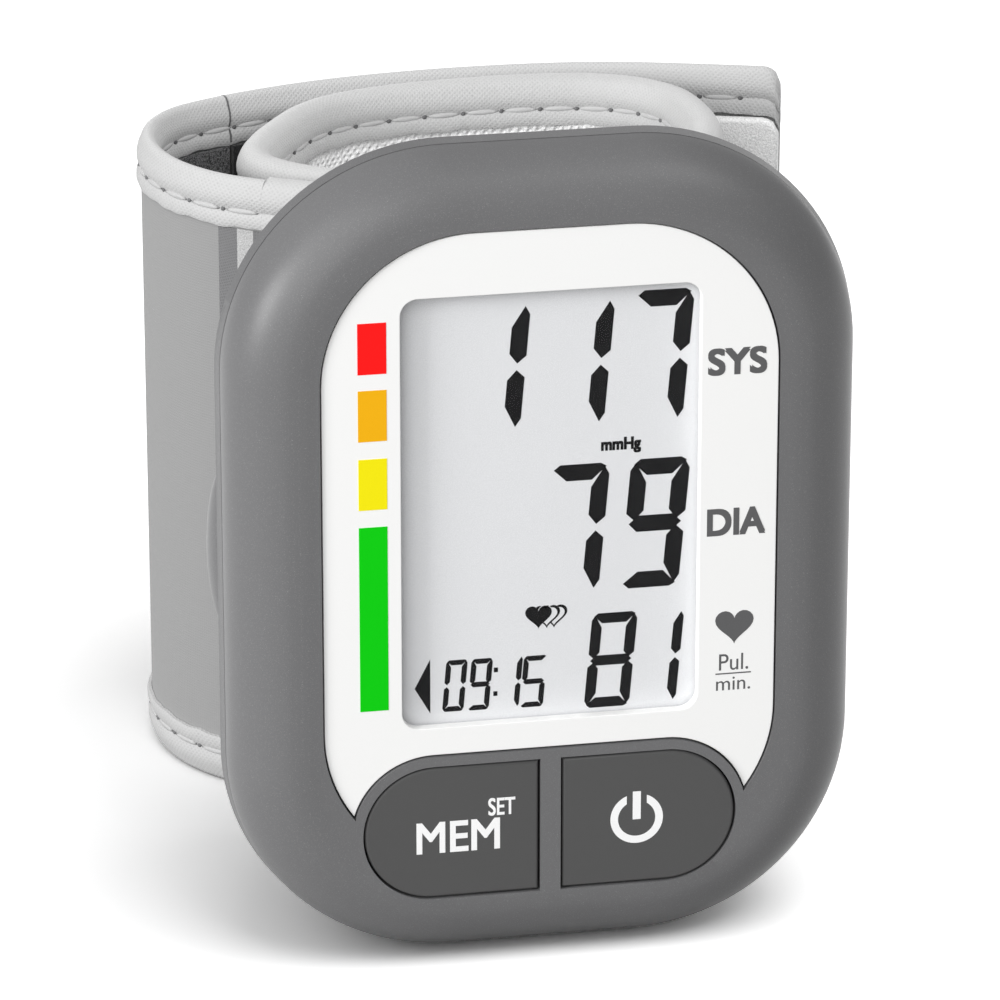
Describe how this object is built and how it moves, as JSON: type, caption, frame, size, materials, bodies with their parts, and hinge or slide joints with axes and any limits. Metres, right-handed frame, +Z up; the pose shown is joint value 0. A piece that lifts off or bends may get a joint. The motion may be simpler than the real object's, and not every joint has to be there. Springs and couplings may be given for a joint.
{
  "type": "wrist blood pressure monitor",
  "caption": "Rounded grey housing with a portrait display in a white face, a split pill of keys below it, and a wound cloth wrist cuff with a free tail behind it.",
  "frame": {"origin": "middle of the flat under the housing that it stands on", "axes": "+Z up, the display faces -Y, +X to the right of the display"},
  "size_m": [0.075, 0.0866, 0.0868],
  "materials": {
    "housing": "satin grey",
    "key": "satin dark grey",
    "panel": "smooth white",
    "lens": "clear",
    "lcd": "grey liquid crystal display",
    "tray": "white",
    "rubber": "black",
    "board": "green laminate",
    "black_plastic": "black",
    "steel": "bright",
    "cell": "dark sleeve",
    "hose": "milky silicone",
    "former": "white sheet",
    "bladder": "grey film",
    "cloth": "fine grey weave",
    "binding": "light grey tape",
    "lining": "ribbed knit",
    "hook": "hook fastener"
  },
  "bodies": {
    "monitor": {"front_housing": "housing", "rear_housing": "housing", "cuff_carrier": "housing", "face_panel": "panel", "display_lens": "lens", "lcd_glass": "lcd", "lcd_holder": "tray", "contact_strip_upper": "rubber", "contact_strip_lower": "rubber", "main_board": "board", "controller_chip": "black_plastic", "memory_switch": "black_plastic", "power_switch": "black_plastic", "case_screw_1": "steel", "case_screw_2": "steel", "case_screw_3": "steel", "case_screw_4": "steel", "battery_front": "cell", "battery_rear": "cell", "contact_link": "steel", "contact_minus": "steel", "contact_plus": "steel", "pump_motor": "steel", "pump_head": "black_plastic", "exhaust_valve": "steel", "pressure_sensor": "tray", "buzzer": "black_plastic", "air_tee": "tray", "pump_hose": "hose", "valve_hose": "hose", "sensor_hose": "hose", "air_nipple": "tray", "carrier_screw_1": "steel", "carrier_screw_2": "steel", "cuff_cover": "cloth", "cuff_former": "former", "air_bladder": "bladder", "cuff_lining": "lining", "cuff_binding_top": "binding", "cuff_binding_bottom": "binding", "loop_patch": "cloth"},
    "memory_key": {"memory_key": "key"},
    "power_key": {"power_key": "key"},
    "battery_door": {"battery_door": "housing"},
    "cuff_tail": {"tail_band": "cloth", "tail_binding_top": "binding", "tail_binding_bottom": "binding", "hook_pad": "hook", "pull_tab": "binding"}
  },
  "joints": [
    {"name": "memory_key_press", "type": "slide", "parent": "monitor", "child": "memory_key", "axis": [0, 1, 0], "range_m": [0, 0.0008], "stiffness_N_per_m": 900},
    {"name": "power_key_press", "type": "slide", "parent": "monitor", "child": "power_key", "axis": [0, 1, 0], "range_m": [0, 0.0008], "stiffness_N_per_m": 900},
    {"name": "battery_door_pull", "type": "slide", "parent": "monitor", "child": "battery_door", "axis": [-1, 0, 0], "range_m": [0, 0.014]},
    {"name": "cuff_tail_swing", "type": "hinge", "parent": "monitor", "child": "cuff_tail", "pos_m": [-0.02175, 0.03643, 0.035], "axis": [0, 0, 1], "range_deg": [0, 90]}
  ]
}
